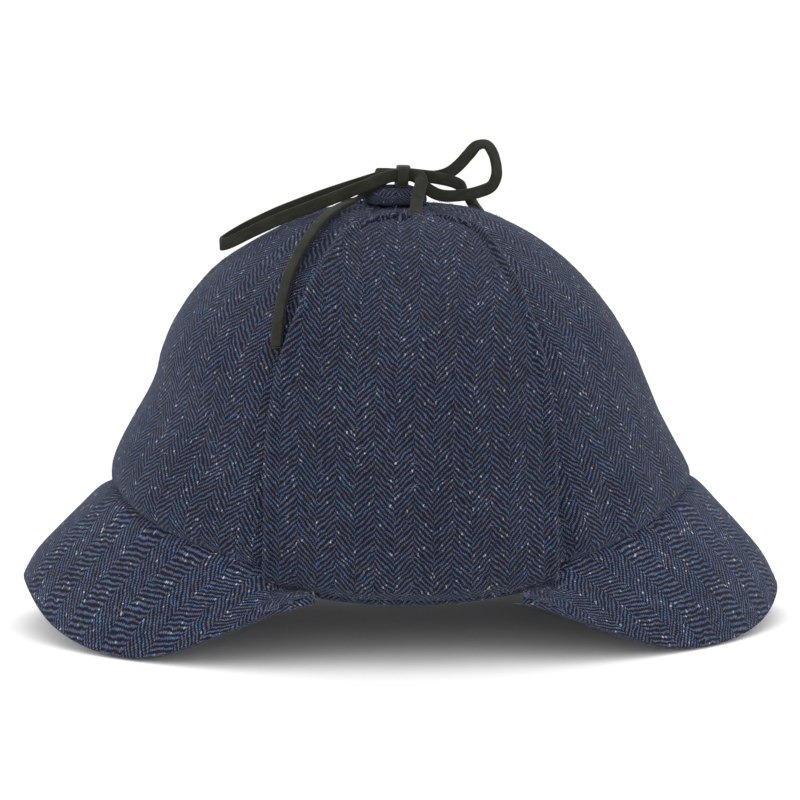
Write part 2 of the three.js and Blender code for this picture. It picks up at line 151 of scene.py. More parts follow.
# Each ear flap, from just above its fold to its tip: row of the crown that it lies on, where its middle is
# along the hat, and its half width.
FLAP_ROWS = [
    FlapRow(row=0.5, mid=-0.0018, half=0.0526),
    FlapRow(row=2.0, mid=-0.0018, half=0.0522),
    FlapRow(row=3.2, mid=-0.0017, half=0.0518),
    FlapRow(row=4.4, mid=-0.0016, half=0.0512),
    FlapRow(row=5.6, mid=-0.0012, half=0.0498),
    FlapRow(row=6.8, mid=-0.0002, half=0.0466),
    FlapRow(row=7.8, mid=0.0012, half=0.042),
    FlapRow(row=8.6, mid=0.0024, half=0.0372),
    FlapRow(row=9.3, mid=0.003, half=0.032),
    FlapRow(row=9.9, mid=0.0034, half=0.0262),
    FlapRow(row=10.3, mid=0.0036, half=0.0195),
    FlapRow(row=10.55, mid=0.0036, half=0.012),
    FlapRow(row=10.6, mid=0.0036, half=0.006),
]

# The fold under the rim that turns a flap up: distance out from the crown's lower edge, and height over it.
FLAP_FOLD = [
    FlapFold(out=-0.0016, up=-0.0023),
    FlapFold(out=0.0004, up=-0.0022),
    FlapFold(out=0.0019, up=-0.0009),
]

# The right flap's lace: up from the flap's tip, through the knot, out and back as the long loop behind,
# through the knot again and over the far side as a tail.
RIGHT_LACE = [
    Run((0.004, -0.0294, 0.1581), ALONG),
    Run((0.004, -0.0265, 0.1597), ALONG),
    Run((0.0043, -0.0225, 0.1618), ALONG),
    Run((0.005, -0.0182, 0.1646), ALONG),
    Run((0.0062, -0.0144, 0.168), ALONG),
    Run((0.0072, -0.0112, 0.1712), (0.9, 0.2, 0.4)),
    Run((0.0062, -0.0084, 0.1727), (0.3, 0.1, 0.95)),
    Run((0.0032, -0.0072, 0.1728), UP),
    Run((0.0006, -0.0072, 0.1727), UP),
    Run((-0.0021, -0.0072, 0.1727), UP),
    Run((-0.0065, -0.0075, 0.1719), UP),
    Run((-0.0136, -0.0086, 0.1693), UP),
    Run((-0.0234, -0.01, 0.1656), UP),
    Run((-0.0348, -0.0105, 0.1613), UP),
    Run((-0.046, -0.01, 0.157), UP),
    Run((-0.057, -0.0084, 0.1519), UP),
    Run((-0.0645, -0.0069, 0.1481), UP),
    Run((-0.0678, -0.0049, 0.1469), UP),
    Run((-0.0676, -0.0024, 0.1473), UP),
    Run((-0.0643, -0.001, 0.1494), UP),
    Run((-0.057, -0.001, 0.1536), UP),
    Run((-0.0457, -0.0014, 0.1588), UP),
    Run((-0.0343, -0.0019, 0.1632), UP),
    Run((-0.0229, -0.0024, 0.1672), UP),
    Run((-0.0131, -0.0028, 0.1703), UP),
    Run((-0.0065, -0.0029, 0.1721), UP),
    Run((-0.0021, -0.0029, 0.1727), UP),
    Run((0.0033, -0.0029, 0.1727), UP),
    Run((0.0085, -0.0031, 0.1722), UP),
    Run((0.0135, -0.0033, 0.1714), UP),
    Run((0.018, -0.0033, 0.1705), UP),
    Run((0.0216, -0.0024, 0.1692), UP),
    Run((0.0246, 0.0002, 0.1669), (-0.3, 0, 0.95)),
    Run((0.0268, 0.004, 0.1636), (-0.8, 0.2, 0.5)),
    Run((0.0286, 0.01, 0.1609), (-0.95, 0.3, 0)),
    Run((0.0306, 0.0165, 0.1583), (-0.95, 0.3, 0)),
    Run((0.0332, 0.023, 0.1549), (-0.92, 0.38, 0)),
    Run((0.0358, 0.0295, 0.1504), (-0.9, 0.43, 0)),
    Run((0.0383, 0.0355, 0.1454), (-0.87, 0.5, 0)),
    Run((0.0403, 0.0415, 0.1399), (-0.85, 0.53, 0)),
]

# The left flap's lace: up from the far side, through the knot, out and back as the short upright loop in
# front, through the knot again and down the near side as a tail.
LEFT_LACE = [
    Run((-0.004, 0.0294, 0.1581), ALONG),
    Run((-0.004, 0.026, 0.16), ALONG),
    Run((-0.0046, 0.0215, 0.1625), ALONG),
    Run((-0.0058, 0.017, 0.1652), ALONG),
    Run((-0.0074, 0.0126, 0.1682), ALONG),
    Run((-0.0088, 0.0082, 0.1709), (0.9, 0.2, 0.4)),
    Run((-0.0086, 0.0038, 0.1724), (0.3, 0.1, 0.95)),
    Run((-0.006, 0.0003, 0.1728), UP),
    Run((-0.0021, -0.0008, 0.1727), UP),
    Run((0.0033, -0.0008, 0.1727), UP),
    Run((0.0085, -0.0008, 0.1722), UP),
    Run((0.0135, -0.0008, 0.1718), UP),
    Run((0.0183, -0.001, 0.1731), UP),
    Run((0.0223, -0.0014, 0.1761), (-0.6, 0.1, 0.8)),
    Run((0.0258, -0.002, 0.18), (-0.7, 0.35, 0.6)),
    Run((0.0292, -0.0028, 0.1836), (-0.4, 0.75, 0.5)),
    Run((0.0326, -0.0034, 0.184), (0.4, 0.75, 0.5)),
    Run((0.035, -0.0039, 0.1809), (0.75, 0.6, 0.25)),
    Run((0.0362, -0.0044, 0.1766), (0.8, 0.55, -0.1)),
    Run((0.0363, -0.005, 0.1722), (0.8, 0.45, -0.3)),
    Run((0.0344, -0.0056, 0.1684), (0.6, 0.3, -0.7)),
    Run((0.0299, -0.0062, 0.1664), (0.25, 0.1, -0.95)),
    Run((0.0223, -0.0066, 0.165), DOWN),
    Run((0.0146, -0.0064, 0.1652), DOWN),
    Run((0.0094, -0.0056, 0.168), DOWN),
    Run((0.0062, -0.0051, 0.1716), (0.1, 0, -1)),
    Run((0.0033, -0.0051, 0.1727), DOWN),
    Run((-0.0021, -0.0051, 0.1727), DOWN),
    Run((-0.006, -0.0052, 0.1716), DOWN),
    Run((-0.011, -0.0054, 0.1682), DOWN),
    Run((-0.0154, -0.0064, 0.1649), (-0.5, 0.55, -0.65)),
    Run((-0.0196, -0.0092, 0.163), ROUND),
    Run((-0.0236, -0.0132, 0.1616), ROUND),
    Run((-0.028, -0.0184, 0.1594), ROUND),
    Run((-0.0325, -0.024, 0.1559), ROUND),
    Run((-0.0362, -0.0292, 0.1517), ROUND),
    Run((-0.04, -0.0348, 0.1465), ROUND),
    Run((-0.0434, -0.0405, 0.1407), ROUND),
    Run((-0.0458, -0.0458, 0.1346), ROUND),
    Run((-0.0476, -0.0508, 0.1282), ROUND),
    Run((-0.0488, -0.0554, 0.1213), ROUND),
    Run((-0.0495, -0.059, 0.115), ROUND),
]

# The crown's lower edge, turned in behind the peaks: distance in from the edge and below it, from the end up.
HEM = [
    Hem(inward=0.0034, down=0.0075),
    Hem(inward=0.0030, down=0.0045),
    Hem(inward=0.0017, down=0.0018),
]

# Soft folds and swellings of the crown just above the peaks: where each is (degrees round from the front,
# and row), how wide and tall it is (degrees and rows), and how far it stands out.
CROWN_FOLDS = [
    Fold(turn=222, row=3.8, wide=8, tall=1.1, rise=-0.0016),
    Fold(turn=232, row=1.7, wide=6, tall=0.8, rise=-0.0012),
    Fold(turn=210, row=1.4, wide=11, tall=0.8, rise=0.0008),
    Fold(turn=311, row=2.0, wide=5, tall=0.9, rise=-0.0018),
    Fold(turn=323, row=2.3, wide=7, tall=0.8, rise=0.0012),
    Fold(turn=331, row=1.0, wide=9, tall=0.5, rise=-0.0009),
    Fold(turn=40, row=2.4, wide=6, tall=1.0, rise=-0.0014),
    Fold(turn=132, row=3.0, wide=8, tall=1.2, rise=-0.0015),
    Fold(turn=155, row=1.6, wide=9, tall=0.8, rise=0.0009),
]


# ------------------------------------------------------------------ colours

def linear(hex_colour):
    """The linear RGBA value of an sRGB colour written as #rrggbb."""
    parts = [int(hex_colour[i:i + 2], 16) / 255 for i in (1, 3, 5)]
    return tuple(c / 12.92 if c <= 0.04045 else ((c + 0.055) / 1.055) ** 2.4 for c in parts) + (1.0,)


def colour_prop(name, description, hex_colour):
    return bpy.props.FloatVectorProperty(
        name=name, description=description, default=linear(hex_colour)[:3], subtype="COLOR", min=0, max=1)


def length_prop(name, description, metres):
    return bpy.props.FloatProperty(
        name=name, description=description, default=metres, min=0, precision=5, subtype="DISTANCE", unit="LENGTH")


class HatSizes(bpy.types.PropertyGroup):
    """Sizes of the cloth and of the laces."""

    crown_wall: length_prop("Crown cloth", "Thickness of the crown's cloth with what lines it", 2.2 * MM)
    peak_wall: length_prop("Peak", "Thickness of a stiffened peak", 3.4 * MM)
    flap_wall: length_prop("Ear flap", "Thickness of an ear flap's two layers", 3.0 * MM)
    thread: length_prop("Thread spacing", "Distance from thread to thread of the weave", 0.54 * MM)
    lace_width: length_prop("Lace width", "Width of a flat suede lace", 4.6 * MM)
    lace_thick: length_prop("Lace thickness", "Thickness of a suede lace", 1.8 * MM)
    right_lace: length_prop("Right lace", "Length of the right flap's lace", 0.2617)
    left_lace: length_prop("Left lace", "Length of the left flap's lace", 0.2351)
    threads_in_column: bpy.props.IntProperty(
        name="Threads in a column", description="Threads from one turn of the herringbone to the next",
        default=13, min=4, max=24)


class HatColours(bpy.types.PropertyGroup):
    """Colours of the yarns, the suede and the floor."""

    warp: colour_prop("Light yarn", "Main colour of the lighter yarn", "#484c5a")
    warp_blue: colour_prop("Blue yarn", "Indigo stretches of the lighter yarn", "#414967")
    warp_bright: colour_prop("Bright yarn", "Teal-blue wisps spun into the lighter yarn", "#33597b")
    warp_pale: colour_prop("Pale yarn", "Near-white wisps spun into the lighter yarn", "#8d919c")
    weft: colour_prop("Dark yarn", "Main colour of the darker yarn", "#0a0d1c")
    weft_brown: colour_prop("Brown yarn", "Brown-purple wisps spun into the darker yarn", "#151118")
    suede: colour_prop("Suede", "Colour of the laces", "#1f201a")
    suede_worn: colour_prop("Worn suede", "Colour of the laces where the nap lies flat", "#2b2c25")
    floor: colour_prop("Floor", "Colour of the studio floor", "#f4f4f4")


# ------------------------------------------------------------------ reading the tables

def smooth_row(table, row, mirrored=()):
    """The table's columns at a fractional row, as one smooth curve through all its rows. Past the last row
    the mirrored columns go on with their sign turned, as over the top of the crown."""
    last = len(table) - 1
    at = min(max(row, 0), last)
    i = min(int(at), last - 1)
    f = at - i

    def pick(k, column):
        if k < 0:
            return 2 * getattr(table[0], column) - getattr(table[1], column)
        if k <= last:
            return getattr(table[k], column)
        return getattr(table[last - 1], column) * (-1 if column in mirrored else 1)

    return type(table[0])(*(between(*(pick(i + step, column) for step in (-1, 0, 1, 2)), f)
                            for column in table[0]._fields))


def between(a, b, c, d, f):
    """A smooth step from b to c, with a before them and d after them."""
    return 0.5 * (2 * b + (c - a) * f + (2 * a - 5 * b + 4 * c - d) * f ** 2 + (3 * b - a - 3 * c + d) * f ** 3)


def smooth_path(points, row):
    """The point at a fractional place along a list of vectors, on one smooth curve through them all that
    doesn't swing out where they lie close together."""
    last = len(points) - 1
    i = min(max(int(row), 0), last - 1)
    f = row - i
    b, c = points[i], points[i + 1]
    a = points[i - 1] if i > 0 else 2 * b - c
    d = points[i + 2] if i + 2 <= last else 2 * c - b
    ab, bc, cd = (max((q - p).length, 1e-6) ** 0.5 for p, q in ((a, b), (b, c), (c, d)))
    start = ((b - a) / ab - (c - a) / (ab + bc) + (c - b) / bc) * bc
    end = ((c - b) / bc - (d - b) / (bc + cd) + (d - c) / cd) * bc
    rest = 1 - f
    return (b * (1 + 2 * f) * rest ** 2 + start * f * rest ** 2
            + c * (3 - 2 * f) * f ** 2 - end * rest * f ** 2)


def edge_height(turn, column):
    """The height of a peak's free edge at an angle, as a smooth average of PEAK_EDGE close by."""
    nearby = (-5, -2.5, 0, 2.5, 5)
    return sum(read_edge(min(abs(turn + step), EDGE_END), column) for step in nearby) / len(nearby)


def read_edge(turn, column):
    """One column of PEAK_EDGE at an angle, on a curve through its rows."""
    table = PEAK_EDGE
    turns = [row.turn for row in table]
    after = next((i for i, value in enumerate(turns) if value >= turn), len(turns) - 1)
    after = max(after, 1)
    share = (turn - turns[after - 1]) / (turns[after] - turns[after - 1])
    values = [getattr(table[min(max(after + step, 0), len(table) - 1)], column) for step in (-2, -1, 0, 1)]
    return between(*values, min(max(share, 0), 1))


def smoothstep(value, low, high):
    t = min(max((value - low) / (high - low), 0), 1)
    return t * t * (3 - 2 * t)


def crowded(share):
    """A share from 0 to 1 with its steps crowded towards both ends, where cloth turns over."""
    return 0.5 - 0.5 * math.cos(math.pi * share)


def rumple(point, size, depth):
    """A soft unevenness of the cloth: size is how far its waves are apart, depth how far they reach."""
    return depth * noise.noise(point / size)


# ------------------------------------------------------------------ surfaces of the hat

def rim_height(turn):
    return RIM_SIDE + (RIM_FRONT - RIM_SIDE) * abs(math.cos(turn)) ** RIM_CURVE


def crown_lengths(turn, row):
    """The crown's height share, half length on the side that turn looks to, and half width at a row."""
    up, front, back, across = smooth_row(CROWN_ROWS, row, ("front", "back", "across"))
    return up, (front if math.cos(turn) > 0 else back), across


def crown_surface(turn, row):
    up, along, across = crown_lengths(turn, row)
    rim = rim_height(turn)
    return Vector((along * math.cos(turn), across * math.sin(turn), rim + (CROWN_TOP - rim) * up))


def off_crown(turn, row, distance):
    """The crown's surface at a turn and row, moved out along its normal."""
    du = crown_surface(turn + 0.004, row) - crown_surface(turn - 0.004, row)
    dv = crown_surface(turn, row + 0.02) - crown_surface(turn, row - 0.02)
    return crown_surface(turn, row) + du.cross(dv).normalized() * distance


def fold_at(turn, row):
    """How far the crown's soft folds stand out there."""
    total = 0
    for fold in CROWN_FOLDS:
        away = ((math.degrees(turn) - fold.turn) / fold.wide) ** 2 + ((row - fold.row) / fold.tall) ** 2
        total += fold.rise * math.exp(-away)
    return total


def peak_surface(side, height, round_share, out):
    """The middle of a peak: side is 1 at the front and -1 at the back, round_share runs from -1 to 1 along
    the seam, and out from 0 at the seam to 1 at the free edge."""
    seam_turn = math.radians(round_share * SEAM_END)
    edge_turn = math.radians(round_share * EDGE_END)
    tucked = TUCK_DROP * smoothstep(abs(round_share * SEAM_END), TUCK_FROM, TUCK_TO)
    half = bpy.context.scene.hat_sizes.peak_wall / 2
    seam = Vector(((CROWN_ROWS[0].front - SEAM_INSET) * math.cos(seam_turn),
                   (CROWN_ROWS[0].across - SEAM_INSET) * math.sin(seam_turn),
                   rim_height(seam_turn) - SEAM_DROP - tucked))
    reach = {"front": PEAK_FRONT, "back": PEAK_BACK}[height]
    edge = Vector(((reach - half) * math.cos(edge_turn),
                   (PEAK_ACROSS - half) * math.sin(edge_turn),
                   edge_height(abs(round_share) * EDGE_END, height) - PEAK_SETTLE))
    arch = smooth_row(PEAK_ARCH, out * (len(PEAK_ARCH) - 1))
    ends = abs(round_share) ** 3
    run = arch.out + (out - arch.out) * ends
    down = arch.down + (out - arch.down) * ends
    return Vector((side * (seam.x + (edge.x - seam.x) * run),
                   side * (seam.y + (edge.y - seam.y) * run),
                   seam.z + (edge.z - seam.z) * down))


def flap_middle(across, step):
    """The middle of an ear flap's cloth: across runs from -1 to 1, and step counts the rows of the fold and
    then those of FLAP_ROWS."""
    folded = step < len(FLAP_FOLD)
    row, mid, half = FLAP_ROWS[0 if folded else step - len(FLAP_FOLD)]
    level = 0 if folded else row
    x = mid + across * half
    along = crown_lengths(math.pi if x < 0 else 0, level)[1]
    turn = -math.acos(x / along)
    if folded:
        out, up = FLAP_FOLD[step]
        outward = Vector((math.cos(turn) / along, math.sin(turn) / CROWN_ROWS[0].across, 0)).normalized()
        return crown_surface(turn, 0) + outward * out + Vector((0, 0, up))
    rise = math.exp(-(((row - LIFT_ROW) / LIFT_ROWS) ** 2))
    lifted = FLAP_LIFT * rise * math.exp(-(((across + 1) / LIFT_REACH) ** 2))
    puffed = FLAP_PUFF * (1 - across ** 2) * math.sin(math.pi * step / (len(FLAP_ROWS) + 4))
    wall = bpy.context.scene.hat_sizes.flap_wall
    return off_crown(turn, level, wall / 2 + CLOTH_GAP + FLAP_CLEARANCE + puffed + lifted)


# ------------------------------------------------------------------ making meshes

def lay_grid(columns, rows, point_at, outward=0):
    """A grid whose points point_at(column, row) places, moved out by outward along its normals. It comes with
    its vertices, row by row, and with a UV map that counts metres of cloth."""
    bm = bmesh.new()
    bmesh.ops.create_grid(bm, x_segments=columns, y_segments=rows, size=0.5)
    grid = [[None] * (columns + 1) for _ in range(rows + 1)]
    for vert in bm.verts:
        grid[round((vert.co.y + 0.5) * rows)][round((vert.co.x + 0.5) * columns)] = vert
    for j, line in enumerate(grid):
        for i, vert in enumerate(line):
            vert.co = point_at(i, j)
    bm.normal_update()
    for vert in bm.verts:
        vert.co += vert.normal * outward
    measure_cloth(bm, grid)
    return bm, grid


def measure_cloth(bm, grid):
    """Writes how far each point is across the cloth from the middle column, and along that column."""
    middle = len(grid[0]) // 2
    along, spots = 0, {}
    for j, line in enumerate(grid):
        along += (line[middle].co - grid[max(j - 1, 0)][middle].co).length
        across = [0]
        for before, after in zip(line, line[1:]):
            across.append(across[-1] + (after.co - before.co).length)
        for vert, value in zip(line, across):
            spots[vert] = (value - across[middle], along)
    write_uv(bm, spots.get)


def write_uv(bm, at):
    """Gives each vertex its place on the cloth, in metres."""
    layer = bm.loops.layers.uv.verify()
    for face in bm.faces:
        for loop in face.loops:
            loop[layer].uv = at(loop.vert)


def thicken(bm, wall):
    """Turns one layer into a wall that goes inward from it. The weave goes on over its edges."""
    bm.normal_update()
    layer = bm.loops.layers.uv.verify()
    beyond = {}
    for edge in (edge for edge in bm.edges if edge.is_boundary):
        spots = {loop.vert: loop[layer].uv.copy() for loop in edge.link_faces[0].loops}
        centre = sum(spots.values(), Vector((0, 0))) / len(spots)
        first, second = (spots[vert] for vert in edge.verts)
        tangent = (second - first).normalized()
        side = (first + second) / 2 - centre
        side = (side - tangent * side.dot(tangent)).normalized() * wall
        for vert in edge.verts:
            beyond[vert] = (spots[vert], side)
    front = set(bm.verts)
    made = bmesh.ops.extrude_face_region(bm, geom=bm.faces[:], use_keep_orig=True)["geom"]
    for item in made:
        if isinstance(item, bmesh.types.BMVert):
            item.co -= item.normal * wall
    bmesh.ops.reverse_faces(bm, faces=[item for item in made if isinstance(item, bmesh.types.BMFace)])
    bmesh.ops.recalc_face_normals(bm, faces=bm.faces[:])
    for face in bm.faces:
        if sum(loop.vert in front for loop in face.loops) != 2:
            continue
        for loop in face.loops:
            if loop.vert in front:
                loop[layer].uv = beyond[loop.vert][0]
                continue
            partner = next(edge.other_vert(loop.vert) for edge in face.edges
                           if loop.vert in edge.verts and edge.other_vert(loop.vert) in front)
            loop[layer].uv = beyond[partner][0] + beyond[partner][1]


def finish_piece(bm, name, material, stands_for, rounding=0):
    """Makes the piece's object, lets it ride on the hat, and gives it its material and slot."""
    for vert in bm.verts:
        vert.co += CENTRE_SHIFT
        vert.co.z = max(vert.co.z, 0.0)
    for face in bm.faces:
        face.smooth = True
    mesh = bpy.data.meshes.new(name)
    bm.to_mesh(mesh)
    bm.free()
    mesh.uv_layers[0].name = "Cloth"
    mesh.materials.append(material)
    piece = bpy.data.objects.new(name, mesh)
    bpy.context.scene.collection.objects.link(piece)
    if rounding:
        modifier = piece.modifiers.new("Rounding", "SUBSURF")
        modifier.levels = rounding
        modifier.render_levels = rounding
    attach(piece, "root")
    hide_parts(*stands_for)
    return piece


# ------------------------------------------------------------------ materials

def add(tree, kind, inputs=(), **settings):
    """Adds a node, sets its settings, and fills its inputs: a socket is linked, anything else is a value."""
    made = tree.nodes.new(kind)
    for key, value in settings.items():
        setattr(made, key, value)
    for key, value in dict(inputs).items():
        if isinstance(value, bpy.types.NodeSocket):
            tree.links.new(value, made.inputs[key])
        else:
            made.inputs[key].default_value = value
    return made


def maths(tree, operation, *values, clamp=False):
    """The result of one sum over sockets and numbers."""
    return add(tree, "ShaderNodeMath", dict(enumerate(values)), operation=operation, use_clamp=clamp).outputs[0]


def mixed(tree, factor, first, second, blend="MIX"):
    """Two colours mixed."""
    made = add(tree, "ShaderNodeMix", {}, data_type="RGBA", blend_type=blend)
    for index, value in ((0, factor), (6, first), (7, second)):
        if isinstance(value, bpy.types.NodeSocket):
            tree.links.new(value, made.inputs[index])
        else:
            made.inputs[index].default_value = value
    return made.outputs[2]


def new_material(name):
    material = bpy.data.materials.new(name)
    material.use_nodes = True
    material.node_tree.nodes.clear()
    return material


# Herringbone wool tweed, woven in a two-and-two twill from carded yarn and lightly milled. The light yarn
# shows as short slanting dashes that turn back at every column, on a dark ground, with wisps of other
# colours spun in and a fine haze of wool over it. The dashes are the true thread spacing.
def herringbone_tweed(name, painted_light_level):
    sizes, colours = bpy.context.scene.hat_sizes, bpy.context.scene.hat_colours
    material = new_material(name)
    tree = material.node_tree
    rgba = lambda value: (*value, 1.0)

    cloth = add(tree, "ShaderNodeUVMap", uv_map="Cloth").outputs["UV"]
    drift = add(tree, "ShaderNodeTexNoise", {"Vector": cloth, "Scale": 260, "Detail": 2.0, "Roughness": 0.6},
                noise_dimensions="2D").outputs["Color"]
    moved = add(tree, "ShaderNodeVectorMath", {0: drift, 1: (0.5, 0.5, 0.5)}, operation="SUBTRACT").outputs[0]
    moved = add(tree, "ShaderNodeVectorMath", {0: moved, "Scale": 0.0016}, operation="SCALE").outputs[0]
    spot = add(tree, "ShaderNodeVectorMath", {0: cloth, 1: moved}, operation="ADD").outputs[0]
    parts = add(tree, "ShaderNodeSeparateXYZ", {0: spot})
    x = maths(tree, "DIVIDE", parts.outputs[0], sizes.thread)
    y = maths(tree, "DIVIDE", parts.outputs[1], sizes.thread)
    warp_thread = maths(tree, "FLOOR", x)
    weft_thread = maths(tree, "FLOOR", y)
    column = maths(tree, "FLOOR", maths(tree, "DIVIDE", warp_thread, sizes.threads_in_column))
    turned = maths(tree, "MODULO", maths(tree, "ABSOLUTE", column), 2.0)
    slant = maths(tree, "PINGPONG", maths(tree, "ADD", warp_thread, 0.5), sizes.threads_in_column)
    phase = maths(tree, "DIVIDE", maths(tree, "ADD", y, slant), 4.0)
    phase = maths(tree, "ADD", phase, maths(tree, "MULTIPLY", turned, 0.5))
    wave = maths(tree, "SINE", maths(tree, "MULTIPLY", phase, 2 * math.pi))
    over = add(tree, "ShaderNodeMapRange", {0: wave, 1: -0.3, 2: 0.6}, interpolation_type="SMOOTHSTEP").outputs[0]
    warp_side = maths(tree, "ABSOLUTE", maths(tree, "SUBTRACT", maths(tree, "FRACT", x), 0.5))
    weft_side = maths(tree, "ABSOLUTE", maths(tree, "SUBTRACT", maths(tree, "FRACT", y), 0.5))
    warp_hump = maths(tree, "SUBTRACT", 1.0, maths(tree, "MULTIPLY", warp_side, 1.7))
    weft_hump = maths(tree, "SUBTRACT", 1.0, maths(tree, "MULTIPLY", weft_side, 1.7))
    dash = maths(tree, "POWER", maths(tree, "ABSOLUTE", wave), 0.5)
    hump = add(tree, "ShaderNodeMix", {0: over, 2: weft_hump, 3: warp_hump}, data_type="FLOAT").outputs[0]
    relief = maths(tree, "MULTIPLY", hump, dash)

    # Wisps: each stretch of a thread draws its own colour.
    stretch = maths(tree, "FLOOR", maths(tree, "DIVIDE", y, 4.0))
    warp_key = add(tree, "ShaderNodeCombineXYZ", {0: warp_thread, 1: stretch, 2: 0.37}).outputs[0]
    warp_draw = add(tree, "ShaderNodeTexWhiteNoise", {"Vector": warp_key}, noise_dimensions="3D").outputs["Value"]
    stretch = maths(tree, "FLOOR", maths(tree, "DIVIDE", x, 7.0))
    weft_key = add(tree, "ShaderNodeCombineXYZ", {0: stretch, 1: weft_thread, 2: 4.11}).outputs[0]
    weft_draw = add(tree, "ShaderNodeTexWhiteNoise", {"Vector": weft_key}, noise_dimensions="3D").outputs["Value"]
    hair = add(tree, "ShaderNodeTexNoise", {"Vector": cloth, "Scale": 2400, "Detail": 2.0, "Roughness": 0.7},
               noise_dimensions="2D").outputs[0]
    clump = add(tree, "ShaderNodeTexNoise", {"Vector": cloth, "Scale": 420, "Detail": 3.0, "Roughness": 0.6},
                noise_dimensions="2D").outputs[0]
    broad = add(tree, "ShaderNodeTexNoise", {"Vector": cloth, "Scale": 45, "Detail": 2.0}, noise_dimensions="2D").outputs[0]

    bright = add(tree, "ShaderNodeMapRange", {0: warp_draw, 1: 0.78, 2: 0.86}).outputs[0]
    pale = add(tree, "ShaderNodeMapRange", {0: warp_draw, 1: 0.965, 2: 0.975}).outputs[0]
    blue = add(tree, "ShaderNodeMapRange", {0: warp_draw, 1: 0.3, 2: 0.5}).outputs[0]
    light = mixed(tree, blue, rgba(colours.warp), rgba(colours.warp_blue))
    light = mixed(tree, bright, light, rgba(colours.warp_bright))
    light = mixed(tree, pale, light, rgba(colours.warp_pale))
    brown = add(tree, "ShaderNodeMapRange", {0: weft_draw, 1: 0.55, 2: 0.8}).outputs[0]
    dark = mixed(tree, brown, rgba(colours.weft), rgba(colours.weft_brown))
    shown = mixed(tree, over, dark, light)
    # Painted shade: the colour is darkened where the threads dip, at their sides and at the ends of the floats, and the
    # whole is scaled by the piece's painted light level. The clumps, hairs and broad patches after it are the yarn's
    # own uneven tone.
    depth = maths(tree, "MULTIPLY_ADD", relief, 0.85 * painted_light_level, 0.35 * painted_light_level)
    uneven = maths(tree, "MULTIPLY_ADD", clump, 1.8, 0.1)
    uneven = maths(tree, "MULTIPLY", uneven, maths(tree, "MULTIPLY_ADD", hair, 2.2, -0.1))
    uneven = maths(tree, "MULTIPLY", uneven, maths(tree, "MULTIPLY_ADD", broad, 0.5, 0.75))
    painted_shade_and_unevenness = maths(tree, "MULTIPLY", depth, uneven)
    tint = add(tree, "ShaderNodeCombineColor", {0: painted_shade_and_unevenness, 1: painted_shade_and_unevenness, 2: painted_shade_and_unevenness}).outputs[0]
    base = mixed(tree, 1.0, shown, tint, "MULTIPLY")
    height = maths(tree, "ADD", relief, maths(tree, "MULTIPLY", hair, 0.5))
    bump = add(tree, "ShaderNodeBump", {"Strength": 0.6, "Distance": 0.0004, "Height": height}).outputs[0]
    shader = add(tree, "ShaderNodeBsdfPrincipled", {
        "Base Color": base, "Roughness": 0.92, "Specular IOR Level": 0.2, "IOR": 1.45,
        "Sheen Weight": 0.1, "Sheen Roughness": 0.5, "Sheen Tint": (0.55, 0.62, 0.8, 1.0), "Normal": bump})
    add(tree, "ShaderNodeOutputMaterial", {"Surface": shader.outputs[0]})
    return material


# Split-leather suede lace, cut from the hide and buffed. The short nap scatters light evenly, shows lighter
# strokes where it lies flat, and has no shine.
def buffed_suede():
    colours = bpy.context.scene.hat_colours
    material = new_material("buffed_suede_lace")
    tree = material.node_tree
    cloth = add(tree, "ShaderNodeUVMap", uv_map="Cloth").outputs["UV"]
    strokes = add(tree, "ShaderNodeMapping", {"Vector": cloth, "Scale": (1.0, 0.35, 1.0)}).outputs[0]
    nap = add(tree, "ShaderNodeTexNoise", {"Vector": strokes, "Scale": 900, "Detail": 4.0, "Roughness": 0.7}).outputs[0]
    patch = add(tree, "ShaderNodeTexNoise", {"Vector": cloth, "Scale": 160, "Detail": 2.0}).outputs[0]
    lying = add(tree, "ShaderNodeMapRange", {0: maths(tree, "ADD", nap, patch), 1: 0.8, 2: 1.35}).outputs[0]
    base = mixed(tree, lying, (*colours.suede, 1.0), (*colours.suede_worn, 1.0))
    bump = add(tree, "ShaderNodeBump", {"Strength": 0.5, "Distance": 0.0002, "Height": nap}).outputs[0]
    shader = add(tree, "ShaderNodeBsdfPrincipled", {
        "Base Color": base, "Roughness": 0.95, "Specular IOR Level": 0.15,
        "Sheen Weight": 0.2, "Sheen Roughness": 0.4, "Sheen Tint": (0.6, 0.6, 0.5, 1.0), "Normal": bump})
    add(tree, "ShaderNodeOutputMaterial", {"Surface": shader.outputs[0]})
    return material


# Loose lambswool fibres, raised by the milling: thin, pale and slightly translucent, so that they catch the
# light along the hat's outline. Their colour changes from fibre to fibre.
def loose_wool():
    colours = bpy.context.scene.hat_colours
    material = new_material("loose_lambswool_fibre")
    tree = material.node_tree
    place = add(tree, "ShaderNodeTexCoord").outputs["Object"]
    patch = add(tree, "ShaderNodeTexNoise", {"Vector": place, "Scale": 500}).outputs[0]
    share = add(tree, "ShaderNodeMapRange", {0: patch, 1: 0.35, 2: 0.65}).outputs[0]
    base = mixed(tree, share, (*colours.warp, 1.0), (*colours.warp_pale, 1.0))
    shader = add(tree, "ShaderNodeBsdfPrincipled", {"Base Color": base, "Roughness": 0.7, "IOR": 1.55})
    add(tree, "ShaderNodeOutputMaterial", {"Surface": shader.outputs[0]})
    return material


# The same tweed on each kind of piece, with a painted light level for each: its colour is made lighter on the peaks and
# darker on the crown, the flaps and the button, as painted light and shade for how the light falls on them.
PAINTED_LIGHT_ON_TWEED = {"crown": 0.93, "peak": 1.14, "flap": 0.84, "button": 0.8}


def tweed(kind):
    name = f"milled_herringbone_wool_tweed_{kind}"
    # Each kind of piece gets its own copy of the tweed, lit or shaded by its painted light level.
    return bpy.data.materials.get(name) or herringbone_tweed(name, PAINTED_LIGHT_ON_TWEED[kind])


def suede():
    return bpy.data.materials.get("buffed_suede_lace") or buffed_suede()


# ------------------------------------------------------------------ cords

LACE_SIDES, LACE_STEPS = 24, 8
FIBRES_ON_A_PIECE = 520


